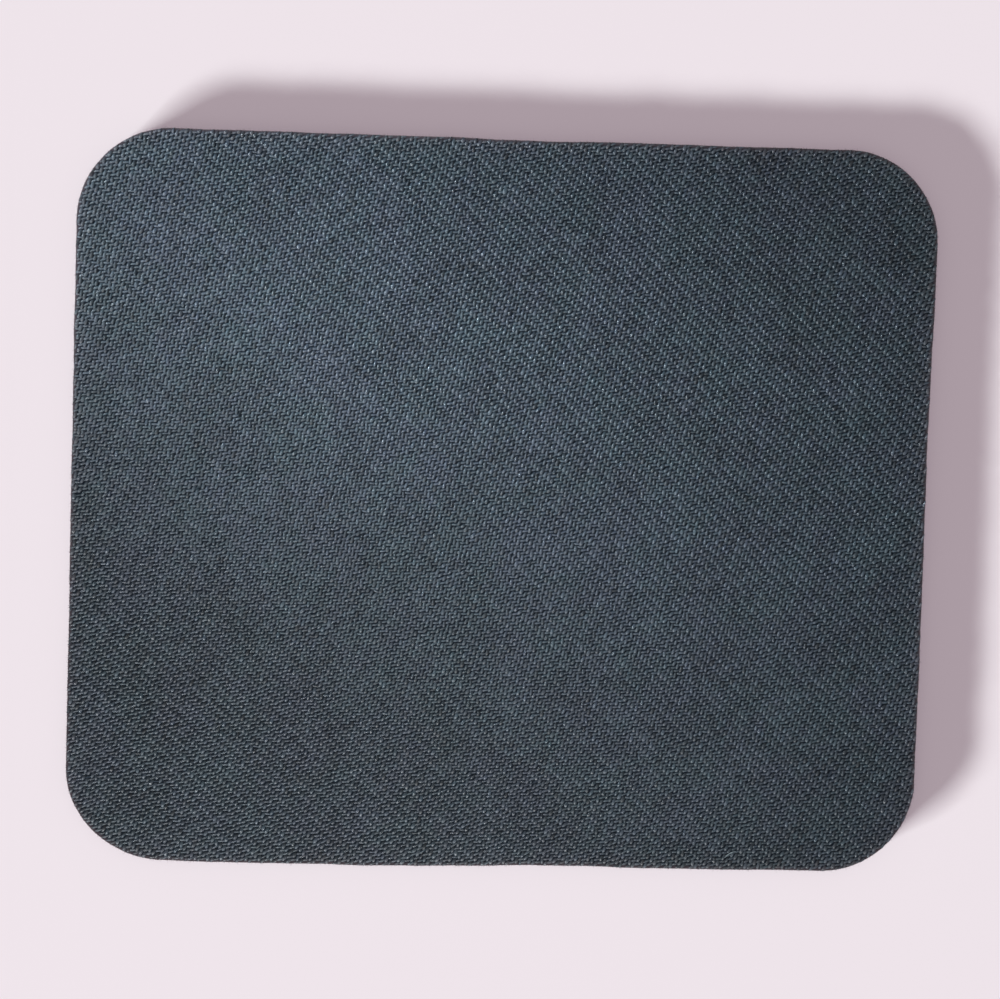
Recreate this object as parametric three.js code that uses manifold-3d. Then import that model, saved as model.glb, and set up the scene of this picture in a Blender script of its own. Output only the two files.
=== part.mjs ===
// A plain mouse pad: a woven cloth face, a bonding film and a sponge rubber base, laminated and die-cut.
// Millimetres, +Z up. The origin is the middle of the underside, where the pad lies on the desk.
// X runs along the long sides, and Y runs away from the person who uses it.
import * as THREE from "three";
import { mergeVertices } from "three/addons/utils/BufferGeometryUtils.js";
import Module from "manifold-3d";

const wasm = await Module();
wasm.setup();

// Plan of the pad, cut through all its layers by one stroke of the die
const PAD_LENGTH = 211.5;
const PAD_WIDTH = 180;
const CORNER_RADIUS = 23;

// Thickness of each layer, from the desk up
const BASE_THICKNESS = 2.4;
const FILM_THICKNESS = 0.1;
const CLOTH_THICKNESS = 0.5;

// The cut wall. The die squeezes the sponge, which springs back hollow and a little wider at its foot.
const WALL_HOLLOW = 0.25;
const WALL_TAPER = 0.15;
const FILM_SETBACK = 0.05;

// The die rolls the rim of the cloth down over this radius.
const RIM_ROLL = 0.4;

// Anti-slip relief: wavy grooves moulded into the underside, which run out through the short sides
const GROOVE_PITCH = 9;
const GROOVE_MOUTH = 3.4;
const GROOVE_FLOOR = 1.8;
const GROOVE_DEPTH = 0.5;
const WAVE_LENGTH = 30;
const WAVE_SWING = 2.4;
const EDGE_LAND = 3;

// How far a cutting shape passes the faces that it cuts
const OVERRUN = 1;

// Facets
const CORNER_STEPS = 18;
const WALL_STEPS = 6;
const ROLL_STEPS = 4;
const WAVE_STEPS = 8;

// Levels where one layer ends and the next begins
const BASE_TOP = BASE_THICKNESS;
const FILM_TOP = BASE_TOP + FILM_THICKNESS;
const PAD_TOP = FILM_TOP + CLOTH_THICKNESS;

// Points of the pad's outline, anticlockwise, drawn in from the cut line by an inset.
// The four corner arcs share their centres at every inset, and the straight sides join them.
function padOutline(inset) {
  const radius = CORNER_RADIUS - inset;
  const centreX = PAD_LENGTH / 2 - CORNER_RADIUS;
  const centreY = PAD_WIDTH / 2 - CORNER_RADIUS;
  const corners = [
    [centreX, centreY],
    [-centreX, centreY],
    [-centreX, -centreY],
    [centreX, -centreY],
  ];
  return corners.flatMap(([x, y], quarter) => {
    const start = (quarter * Math.PI) / 2;
    const arc = new THREE.EllipseCurve(x, y, radius, radius, start, start + Math.PI / 2);
    return arc.getPoints(CORNER_STEPS);
  });
}

// Closed loft through rings of the pad's outline, lowest first, each with its height and its inset
function loft(rings) {
  const outlines = rings.map(({ inset }) => padOutline(inset));
  const count = outlines[0].length;
  const top = (rings.length - 1) * count;
  const positions = outlines.flatMap((outline, level) =>
    outline.flatMap(({ x, y }) => [x, y, rings[level].height]),
  );
  const indices = [];
  for (let level = 0; level < rings.length - 1; level += 1) {
    for (let i = 0; i < count; i += 1) {
      const low = level * count + i;
      const lowNext = level * count + ((i + 1) % count);
      indices.push(low, lowNext, lowNext + count);
      indices.push(low, lowNext + count, low + count);
    }
  }
  for (const [a, b, c] of THREE.ShapeUtils.triangulateShape(outlines[0], [])) {
    indices.push(c, b, a);
  }
  for (const [a, b, c] of THREE.ShapeUtils.triangulateShape(outlines.at(-1), [])) {
    indices.push(top + a, top + b, top + c);
  }
  const geometry = new THREE.BufferGeometry();
  geometry.setAttribute("position", new THREE.Float32BufferAttribute(positions, 3));
  geometry.setIndex(indices);
  return geometry;
}

// The closed solid that a geometry bounds, for the boolean cuts
function solidOf(geometry) {
  const bare = geometry.clone();
  bare.deleteAttribute("normal");
  bare.deleteAttribute("uv");
  const merged = mergeVertices(bare);
  return new wasm.Manifold(
    new wasm.Mesh({
      numProp: 3,
      vertProperties: merged.attributes.position.array,
      triVerts: new Uint32Array(merged.index.array),
    }),
  );
}

// The geometry of a solid, once the cuts are made
function geometryOf(solid) {
  const { vertProperties, triVerts } = solid.getMesh();
  const geometry = new THREE.BufferGeometry();
  geometry.setAttribute("position", new THREE.BufferAttribute(vertProperties, 3));
  geometry.setIndex(new THREE.BufferAttribute(triVerts, 1));
  return geometry;
}

// Centre line of one groove: a sine wave along X that crosses its own mean line at the middle
class GrooveLine extends THREE.Curve {
  constructor(y, waves) {
    super();
    this.y = y;
    this.waves = waves;
  }

  getPoint(t, target = new THREE.Vector3()) {
    const x = (t - 1 / 2) * this.waves * WAVE_LENGTH;
    const swing = WAVE_SWING * Math.sin((2 * Math.PI * x) / WAVE_LENGTH);
    return target.set(x, this.y + swing, 0);
  }
}

// Section of a groove, across its centre line. The section's X points down and its Y across.
function grooveSection() {
  return new THREE.Shape([
    new THREE.Vector2(-GROOVE_DEPTH, -GROOVE_FLOOR / 2),
    new THREE.Vector2(0, -GROOVE_MOUTH / 2),
    new THREE.Vector2(OVERRUN, -GROOVE_MOUTH / 2),
    new THREE.Vector2(OVERRUN, GROOVE_MOUTH / 2),
    new THREE.Vector2(0, GROOVE_MOUTH / 2),
    new THREE.Vector2(-GROOVE_DEPTH, GROOVE_FLOOR / 2),
  ]);
}

// One groove as a solid to cut with, long enough to pass both short sides of the pad
function groove(y) {
  const waves = Math.ceil((PAD_LENGTH + 2 * OVERRUN) / WAVE_LENGTH);
  const geometry = new THREE.ExtrudeGeometry(grooveSection(), {
    steps: waves * WAVE_STEPS,
    extrudePath: new GrooveLine(y, waves),
  });
  return solidOf(geometry);
}

// Mean lines of the grooves, spread evenly about the middle, with a plain land left along each long side
function grooveLines() {
  const room = PAD_WIDTH - 2 * (EDGE_LAND + WAVE_SWING) - GROOVE_MOUTH;
  const count = Math.floor(room / GROOVE_PITCH) + 1;
  return Array.from({ length: count }, (_, i) => (i - (count - 1) / 2) * GROOVE_PITCH);
}

// Rings of the base's cut wall: it leans in by the taper and bows in by the hollow at half height.
function wallRings() {
  return Array.from({ length: WALL_STEPS + 1 }, (_, i) => {
    const rise = i / WALL_STEPS;
    const bow = 4 * rise * (1 - rise);
    return { height: rise * BASE_TOP, inset: rise * WALL_TAPER + bow * WALL_HOLLOW };
  });
}

// Rings of the cloth: a straight cut edge, then a quarter round where the die rolled the rim down
function clothRings() {
  const roll = Math.min(RIM_ROLL, CLOTH_THICKNESS);
  const quarter = Array.from({ length: ROLL_STEPS + 1 }, (_, i) => {
    const angle = ((i / ROLL_STEPS) * Math.PI) / 2;
    return {
      height: PAD_TOP - roll + roll * Math.sin(angle),
      inset: WALL_TAPER + roll * (1 - Math.cos(angle)),
    };
  });
  const foot = { height: FILM_TOP, inset: WALL_TAPER };
  return roll < CLOTH_THICKNESS ? [foot, ...quarter] : quarter;
}

// Sponge rubber base with the wavy grooves cut into its underside
function rubberBase() {
  const slab = solidOf(loft(wallRings()));
  const grooved = grooveLines().reduce((body, y) => body.subtract(groove(y)), slab);
  return geometryOf(grooved);
}

// Hot-melt film between base and cloth, a hair short of the cut line
function bondingFilm() {
  const inset = WALL_TAPER + FILM_SETBACK;
  return loft([
    { height: BASE_TOP, inset },
    { height: FILM_TOP, inset },
  ]);
}

// Woven cloth face with its rolled rim
function clothFace() {
  return loft(clothRings());
}

// A named mesh with its own plain material
function piece(name, geometry, color, roughness) {
  const material = new THREE.MeshStandardMaterial({ color, roughness, metalness: 0 });
  const mesh = new THREE.Mesh(geometry, material);
  mesh.name = name;
  return mesh;
}

const mousePad = new THREE.Group();
mousePad.add(piece("rubber_base", rubberBase(), "#1b1b1e", 0.85));
mousePad.add(piece("bonding_film", bondingFilm(), "#6f6a63", 0.4));
mousePad.add(piece("cloth_face", clothFace(), "#48505a", 0.8));

export default mousePad;
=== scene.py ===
"""A plain cloth mouse pad, dressed on its CAD frame.

The pad is a twill cloth bonded to a sponge rubber base and cut out with a die. Every yarn float that
shows on the face is its own small form, the base has its wavy anti-slip underside, and the cut
rim has its frayed yarn ends. Lengths are in metres, with +Z up and the desk at zero.
"""

import logging
import math
from dataclasses import dataclass
from enum import Enum

import bpy
import numpy as np
from mathutils import Matrix, Vector


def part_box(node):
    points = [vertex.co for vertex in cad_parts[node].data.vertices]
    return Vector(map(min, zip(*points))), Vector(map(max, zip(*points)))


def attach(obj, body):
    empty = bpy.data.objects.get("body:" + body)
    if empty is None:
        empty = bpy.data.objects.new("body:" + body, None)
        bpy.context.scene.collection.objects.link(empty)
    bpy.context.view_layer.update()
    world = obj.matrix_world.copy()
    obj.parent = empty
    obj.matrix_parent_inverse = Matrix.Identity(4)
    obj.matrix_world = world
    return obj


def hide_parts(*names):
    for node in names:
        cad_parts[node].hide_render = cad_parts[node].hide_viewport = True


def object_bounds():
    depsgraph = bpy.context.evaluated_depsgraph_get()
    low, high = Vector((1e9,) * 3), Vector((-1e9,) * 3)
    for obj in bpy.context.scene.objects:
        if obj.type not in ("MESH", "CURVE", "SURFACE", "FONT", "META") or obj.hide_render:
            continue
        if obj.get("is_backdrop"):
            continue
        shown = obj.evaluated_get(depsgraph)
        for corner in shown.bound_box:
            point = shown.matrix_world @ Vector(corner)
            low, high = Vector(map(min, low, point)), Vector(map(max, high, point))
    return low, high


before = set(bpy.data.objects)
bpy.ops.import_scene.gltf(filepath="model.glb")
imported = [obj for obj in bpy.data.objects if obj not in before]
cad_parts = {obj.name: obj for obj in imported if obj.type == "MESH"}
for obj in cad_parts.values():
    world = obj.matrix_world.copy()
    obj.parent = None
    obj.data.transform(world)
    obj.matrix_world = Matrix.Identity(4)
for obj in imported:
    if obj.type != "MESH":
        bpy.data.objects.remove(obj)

LOG = logging.getLogger("mouse_pad")
MM = 0.001
BODY = "root"
FLOAT_POINTS = 8

# Numbers of a Mix node's colour sockets, whose names its other kinds share.
MIX_LOW, MIX_HIGH, MIX_RESULT = 6, 7, 2

Array = np.ndarray
Colour = tuple[float, float, float]
Piece = bpy.types.Object


def linear(red: int, green: int, blue: int) -> Colour:
    """Turns a screen colour, three numbers from 0 to 255, into the linear one that a shader takes."""
    shares = (channel / 255 for channel in (red, green, blue))
    return tuple(s / 12.92 if s <= 0.04045 else ((s + 0.055) / 1.055) ** 2.4 for s in shares)


def ease(share: Array) -> Array:
    """Smooth step: 3 t^2 - 2 t^3, with t held between 0 and 1."""
    held = np.clip(share, 0.0, 1.0)
    return held * held * (3.0 - 2.0 * held)


def make_object(name: str, points: Array, faces: list, sharp_over: float | None = None) -> Piece:
    """Puts a mesh into the scene as an object at the origin, with smooth faces.

    Args:
        name: Name of the piece.
        points: Places of the vertices, one row each.
        faces: Lists of vertex numbers, anticlockwise seen from outside.
        sharp_over: Edges that turn by more than this many degrees stay sharp; None keeps all smooth.

    Returns:
        The new object.
    """
    mesh = bpy.data.meshes.new(name)
    mesh.from_pydata(points.reshape(-1, 3).tolist(), [], faces)
    mesh.polygons.foreach_set("use_smooth", np.ones(len(mesh.polygons), bool))
    if sharp_over is not None:
        mesh.set_sharp_from_angle(angle=math.radians(sharp_over))
    mesh.update()
    piece = bpy.data.objects.new(name, mesh)
    bpy.context.scene.collection.objects.link(piece)
    return piece


def add_values(piece: Piece, name: str, values: Array) -> None:
    """Stores one number for each vertex of a piece as an attribute."""
    layer = piece.data.attributes.new(name, "FLOAT", "POINT")
    layer.data.foreach_set("value", np.asarray(values, np.float32))


def numbered(rows: int, columns: int) -> Array:
    """Vertex numbers of a grid, row by row."""
    return np.arange(rows * columns).reshape(rows, columns)


def walls(rings: list[Array] | Array) -> Array:
    """Quads from each closed ring of numbers to the next, facing out where they run anticlockwise."""
    pairs = zip(rings[:-1], rings[1:], strict=True)
    return np.concatenate([np.stack([a, np.roll(a, -1), np.roll(b, -1), b], axis=1) for a, b in pairs])


def sheet_quads(rows: int, columns: int) -> Array:
    """Quads of a numbered grid, facing down where its rows go up Y and its columns along X."""
    n = numbered(rows, columns)
    return np.stack([c.ravel() for c in (n[:-1, :-1], n[1:, :-1], n[1:, 1:], n[:-1, 1:])], axis=1)


def rim_of_sheet(rows: int, columns: int) -> Array:
    """Vertex numbers round the border of such a grid, anticlockwise seen from above."""
    number = numbered(rows, columns)
    return np.concatenate([number[0, :-1], number[:-1, -1], number[-1, :0:-1], number[:0:-1, 0]])


def copied(pattern: list[tuple[int, int, int]], points: int, count: int) -> list:
    """Triangles of many copies of a form of so many points, each numbered on from the one before."""
    triangles = np.array(pattern)[None] + points * np.arange(count)[:, None, None]
    return triangles.reshape(-1, 3).tolist()


class Wire:
    """A shader socket that works like a number: an expression on wires adds the Math nodes it needs."""

    def __init__(self, finish: "Finish", socket: bpy.types.NodeSocket) -> None:
        """Wraps an output socket of a finish's node tree."""
        self.finish = finish
        self.socket = socket

    def math(self, operation: str, *others: "Wire | float", turned: bool = False) -> "Wire":
        """Adds one Math node; turned puts this wire last, as the reflected operators need."""
        terms = (*others, self) if turned else (self, *others)
        return self.finish.add("ShaderNodeMath", {"operation": operation}, dict(enumerate(terms)))

    def __add__(self, other: "Wire | float") -> "Wire":
        """Sum."""
        return self.math("ADD", other)

    def __sub__(self, other: "Wire | float") -> "Wire":
        """Difference."""
        return self.math("SUBTRACT", other)

    def __rsub__(self, other: float) -> "Wire":
        """Difference, with the number first."""
        return self.math("SUBTRACT", other, turned=True)

    def __mul__(self, other: "Wire | float") -> "Wire":
        """Product."""
        return self.math("MULTIPLY", other)

    __radd__ = __add__
    __rmul__ = __mul__

    def wave(self) -> "Wire":
        """Sine of the value, moved to run from 0 to 1."""
        return self.math("SINE") * 0.5 + 0.5

    def within(self, low: float, high: float) -> "Wire":
        """Smooth step of the value, from 0 at low to 1 at high."""
        inputs = {"Value": self, "From Min": low, "From Max": high}
        return self.finish.add("ShaderNodeMapRange", {"interpolation_type": "SMOOTHSTEP"}, inputs)


class Finish:
    """A procedural material under construction, round one Principled shader."""

    def __init__(self, name: str, colour: Colour, **constants: float) -> None:
        """Starts a material.

        Args:
            name: Name of the material.
            colour: Base colour where no pattern is linked.
            constants: Values of the shader's other sockets, with spaces in their names as underlines.
        """
        self.material = bpy.data.materials.new(name)
        self.material.use_nodes = True
        self.tree = self.material.node_tree
        self.shader = next(n for n in self.tree.nodes if n.type == "BSDF_PRINCIPLED")
        self.shader.inputs["Base Color"].default_value = (*colour, 1.0)
        for label, value in constants.items():
            self.shader.inputs[label.replace("_", " ")].default_value = value

    def add(self, kind: str, settings: dict, inputs: dict, output: str | int = 0) -> Wire:
        """Adds any node: its settings first, then the values or links of its sockets.

        Args:
            kind: Type name of the node.
            settings: Values of the node's own properties.
            inputs: Socket names or numbers, each with a number, a colour, a vector or a Wire.
            output: Name or number of the output to hand back.

        Returns:
            That output as a Wire.
        """
        node = self.tree.nodes.new(kind)
        for label, value in settings.items():
            setattr(node, label, value)
        for label, value in inputs.items():
            if isinstance(value, Wire):
                self.tree.links.new(value.socket, node.inputs[label])
            else:
                node.inputs[label].default_value = value
        return Wire(self, node.outputs[output])

    def place(self) -> Wire:
        """Object coordinates of the point."""
        return self.add("ShaderNodeTexCoord", {}, {}, "Object")

    def attribute(self, name: str) -> Wire:
        """Value of a mesh attribute at the point."""
        return self.add("ShaderNodeAttribute", {"attribute_name": name}, {}, "Fac")

    def noise(self, size: float, detail: float = 2.0, rough: float = 0.5) -> Wire:
        """Noise about one half, with features of a real size and octaves of finer detail."""
        inputs = {"Vector": self.place(), "Scale": 1.0 / size, "Detail": detail, "Roughness": rough}
        return self.add("ShaderNodeTexNoise", {}, inputs)

    def blend(self, share: Wire, low: "Colour | Wire", high: "Colour | Wire") -> Wire:
        """Mixes two colours.

        Args:
            share: 0 gives the first colour and 1 the second.
            low: First colour.
            high: Second colour.

        Returns:
            The mixed colour.
        """
        ends = [end if isinstance(end, Wire) else (*end, 1.0) for end in (low, high)]
        inputs = {"Factor": share, MIX_LOW: ends[0], MIX_HIGH: ends[1]}
        return self.add("ShaderNodeMix", {"data_type": "RGBA"}, inputs, MIX_RESULT)

    def tint(self, colour: Wire, by: Wire) -> Wire:
        """Product of two colours."""
        return self.add("ShaderNodeVectorMath", {"operation": "MULTIPLY"}, {0: colour, 1: by})

    def link(self, socket: str, wire: Wire) -> None:
        """Links a value or colour to one of the shader's sockets."""
        self.tree.links.new(wire.socket, self.shader.inputs[socket])

    def relief(self, height: Wire, depth: float, strength: float = 1.0) -> None:
        """Adds a bump to the shader's normal, in which a height of 1 stands for the depth."""
        inputs = {"Strength": strength, "Distance": depth, "Height": height}
        self.link("Normal", self.add("ShaderNodeBump", {}, inputs))


@dataclass(frozen=True)
class Pull:
    """A place where the sheet moved a little off its plan.

    Attributes:
        x: Its middle along the length.
        y: Its middle along the width.
        reach: Distance over which it fades.
        shift_x: How far its middle moved along the length.
        shift_y: How far its middle moved along the width.
    """

    x: float
    y: float
    reach: float
    shift_x: float
    shift_y: float


@dataclass(frozen=True)
class Lie:
    """How the pad lies. A soft sheet that was cut and rolled is never quite true to its plan.

    Attributes:
        stretch: Share of its size by which the sheet is pulled along one diagonal.
        pulls: Places where it moved.
        ripple: Size of the small uneven shifts all over it.
        waves: Sines that make up the ripple.
        wave_lengths: Least and greatest length of one.
        seed: Start of the random numbers.
    """

    stretch: float = 0.0034
    pulls: tuple[Pull, ...] = (
        Pull(5 * MM, 90 * MM, 13 * MM, 0.0, -0.26 * MM),
        Pull(14 * MM, -90 * MM, 14 * MM, 0.0, 0.44 * MM),
        Pull(-28 * MM, -90 * MM, 16 * MM, 0.0, -0.24 * MM),
        Pull(-96 * MM, -80 * MM, 17 * MM, 0.0, 1.07 * MM),
        Pull(105 * MM, 15 * MM, 28 * MM, -0.34 * MM, 0.0),
    )
    ripple: float = 0.07 * MM
    waves: int = 12
    wave_lengths: tuple[float, float] = (4.0 * MM, 26.0 * MM)
    seed: int = 5

    def moved(self, points: Array) -> Array:
        """Moves points with the sheet.

        X and Y grow by the stretch times the other one, then by each pull's shift times
        exp(-(distance / reach)^2), then by the ripple.

        Args:
            points: Places of the points, with X, Y and Z last.

        Returns:
            The moved points.
        """
        x, y = points[..., 0], points[..., 1]
        new_x = x + self.stretch * y + self.ripple * self.uneven(x, y, 0)
        new_y = y + self.stretch * x + self.ripple * self.uneven(x, y, 1)
        for pull in self.pulls:
            share = np.exp(-((x - pull.x) ** 2 + (y - pull.y) ** 2) / pull.reach**2)
            new_x, new_y = new_x + pull.shift_x * share, new_y + pull.shift_y * share
        return np.stack([new_x, new_y, points[..., 2]], axis=-1)

    def uneven(self, x: Array, y: Array, which: int) -> Array:
        """A smooth uneven field: a sum of sines in random directions, each of a random length.

        Args:
            x: Places along the length.
            y: Places along the width.
            which: 0 for the shift along X and 1 for that along Y.

        Returns:
            The field, mostly between -1 and 1.
        """
        rng = np.random.default_rng(self.seed + which)
        turns = rng.uniform(0.0, 2 * math.pi, (self.waves, 2))
        lengths = rng.uniform(*self.wave_lengths, self.waves)
        total = np.zeros(np.shape(x))
        for (way, start), length in zip(turns, lengths, strict=True):
            total += np.sin(2 * math.pi / length * (x * math.cos(way) + y * math.sin(way)) + start)
        return total / math.sqrt(self.waves)


@dataclass(frozen=True)
class PadPlan:
    """Plan of the pad: a rectangle with round corners.

    Attributes:
        length: Side along X.
        width: Side along Y.
        corner: Radius of the corners.
        lie: How the pad lies.
        arc_steps: Points on each corner.
        side_step: Spacing of the points on the straight sides.
    """

    length: float
    width: float
    corner: float = 23.0 * MM
    lie: Lie = Lie()
    arc_steps: int = 30
    side_step: float = 1.6 * MM

    def reach(self) -> tuple[float, float]:
        """X and Y of the centre of the first corner's arc."""
        return self.length / 2 - self.corner, self.width / 2 - self.corner

    def past(self, x: Array, y: Array) -> tuple[Array, Array]:
        """Place of each point past the centre of the nearest corner's arc, outward."""
        return np.abs(x) - self.reach()[0], np.abs(y) - self.reach()[1]

    def depth(self, x: Array, y: Array) -> Array:
        """Distance inside the cut line, negative outside it.

        With q the point's place past the corner's centre, it is the radius less the length of q's
        positive part, less q's larger part where both are negative.

        Args:
            x: Places along the length.
            y: Places along the width.

        Returns:
            The depth of each point.
        """
        past_x, past_y = self.past(x, y)
        outside = np.hypot(np.maximum(past_x, 0.0), np.maximum(past_y, 0.0))
        return self.corner - outside - np.minimum(np.maximum(past_x, past_y), 0.0)

    def outward(self, x: Array, y: Array) -> tuple[Array, Array]:
        """Unit direction from each point towards the nearest part of the cut line.

        Args:
            x: Places along the length.
            y: Places along the width.

        Returns:
            X and Y of the direction.
        """
        past_x, past_y = self.past(x, y)
        round_x, round_y = np.maximum(past_x, 0.0), np.maximum(past_y, 0.0)
        in_corner = (past_x > 0.0) & (past_y > 0.0)
        size = np.where(in_corner, np.hypot(round_x, round_y), 1.0)
        to_x = np.where(in_corner, round_x, past_x >= past_y) / size
        to_y = np.where(in_corner, round_y, past_x < past_y) / size
        return np.sign(x) * to_x, np.sign(y) * to_y

    def outline(self) -> tuple[Array, Array]:
        """Points of the cut line, anticlockwise: four arcs joined by evenly stepped sides.

        Returns:
            X and Y of the points.
        """
        centre_x, centre_y = self.reach()
        turn = np.linspace(0.0, math.pi / 2, self.arc_steps + 1)
        arc_x, arc_y = centre_x + self.corner * np.cos(turn), centre_y + self.corner * np.sin(turn)
        top_x = np.linspace(centre_x, -centre_x, int(2 * centre_x / self.side_step) + 1)[1:-1]
        side_y = np.linspace(centre_y, -centre_y, int(2 * centre_y / self.side_step) + 1)[1:-1]
        half_x = np.concatenate([arc_x, top_x, -arc_x[::-1], np.full(len(side_y), -self.length / 2)])
        half_y = np.concatenate([arc_y, np.full(len(top_x), self.width / 2), arc_y[::-1], side_y])
        return np.concatenate([half_x, -half_x]), np.concatenate([half_y, -half_y])

    def half_length(self, y: Array) -> Array:
        """Half the pad's length at Y: to the side, or to the corner's arc by its circle."""
        past = np.clip(np.abs(y) - self.reach()[1], 0.0, self.corner)
        return self.reach()[0] + np.sqrt(self.corner**2 - past**2)

    def rings(self, profile: list[tuple[float, float]]) -> tuple[Array, list]:
        """Closed form with the pad's outline, flat above and below.

        Args:
            profile: Height and inset of each ring, lowest first.

        Returns:
            The points and the faces.
        """
        x, y = self.outline()
        out_x, out_y = self.outward(x, y)
        level = np.ones(len(x))
        levels = [np.stack([x - out_x * i, y - out_y * i, z * level], axis=1) for z, i in profile]
        number = numbered(len(profile), len(x))
        faces = [*walls(number).tolist(), number[0, ::-1].tolist(), number[-1].tolist()]
        return self.lie.moved(np.concatenate(levels)), faces


class Yarn(Enum):
    """The two sets of yarn in the cloth."""

    WARP = "warp"
    WEFT = "weft"


@dataclass(frozen=True)
class TwillWeave:
    """Lattice of a 2/2 twill, whose line falls from the upper left to the lower right.

    Each float passes over two yarns of the other set. With i the number of the warp yarn and j that of
    the weft yarn, warp floats lie where i - j is 1/2, and weft floats where it is 5/2, modulo 4.

    Attributes:
        end_pitch: Spacing of the warp yarns along the weft.
        pick_pitch: Spacing of the weft yarns along the warp.
        weft_turn: Turn of the weft from the pad's length, in degrees.
        warp_lean: Lean of the warp from the pad's width, in degrees, to the right as it runs down.
        spare: Yarns that are tried past the pad's half diagonal.
    """

    end_pitch: float = 0.7876 * MM
    pick_pitch: float = 0.7647 * MM
    weft_turn: float = 0.6
    warp_lean: float = 5.5
    spare: int = 8

    def steps(self) -> tuple[Array, Array]:
        """The steps from one yarn to the next, in the plane.

        Returns:
            The step between warp yarns and that between weft yarns.
        """
        turn, lean = math.radians(self.weft_turn), math.radians(self.warp_lean)
        end_step = self.end_pitch * np.array([math.cos(turn), math.sin(turn)])
        pick_step = self.pick_pitch * np.array([math.sin(lean), -math.cos(lean)])
        return end_step, pick_step

    def floats(self, yarn: Yarn, plan: PadPlan, margin: float) -> tuple[Array, Array, Array]:
        """Middles of one set's floats that lie inside the cut line.

        Args:
            yarn: The set.
            plan: Plan of the pad.
            margin: Least depth of a middle inside the cut line.

        Returns:
            X, Y and the number of the yarn that each float belongs to.
        """
        half = math.hypot(plan.length, plan.width) / 2
        reach = int(half / min(self.end_pitch, self.pick_pitch)) + self.spare
        own = np.arange(-reach, reach + 1)[:, None]
        repeat = 4 * np.arange(-reach // 2, reach // 2 + 1)[None, :]
        if yarn is Yarn.WARP:
            end, pick = own + 0.0 * repeat, own - 0.5 - repeat
        else:
            end, pick = own + 2.5 + repeat, own + 0.0 * repeat
        end_step, pick_step = self.steps()
        x = end * end_step[0] + pick * pick_step[0]
        y = end * end_step[1] + pick * pick_step[1]
        kept = plan.depth(x, y) > margin
        return x[kept], y[kept], (own + 0 * repeat)[kept]


@dataclass(frozen=True)
class FloatForm:
    """Form of one float: a three-sided spindle with a round back, tucked down at both ends.

    Attributes:
        half_length: Half its length, along the yarn.
        half_width: Half its width.
        crown: Height of its back over the ground.
        turn: Turn of the float from its own yarn, in degrees.
        shoulder: Where its two full sections stand, as a share of the half length.
        tone: Usual tone of the set, from 0 for the darkest to 1 for the lightest.
        sharp: Its edges that turn by more than this many degrees stay sharp.
        tuck: How far its ends go down into the ground.
    """

    half_length: float
    half_width: float
    crown: float
    turn: float
    shoulder: float
    tone: float
    sharp: float = 100.0
    tuck: float = 0.06 * MM

    def section(self) -> tuple[Array, Array, Array]:
        """The eight points: a tip, two sections of left foot, back and right foot, and a tip.

        Returns:
            Shares of the half length, of the half width and of the crown for each point.
        """
        s = self.shoulder
        along = np.array([-1.0, -s, -s, -s, s, s, s, 1.0])
        across = np.array([0.0, 1.0, 0.0, -1.0, 1.0, 0.0, -1.0, 0.0])
        up = np.array([0.0, 0.0, 1.0, 0.0, 0.0, 1.0, 0.0, 0.0])
        return along, across, up

    @staticmethod
    def faces() -> list[tuple[int, int, int]]:
        """The twelve triangles of one float, anticlockwise seen from outside."""
        tips = [(0, 2, 1), (0, 3, 2), (0, 1, 3), (7, 4, 5), (7, 5, 6), (7, 6, 4)]
        return [*tips, (1, 2, 5), (1, 5, 4), (2, 3, 6), (2, 6, 5), (3, 1, 4), (3, 4, 6)]


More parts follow.
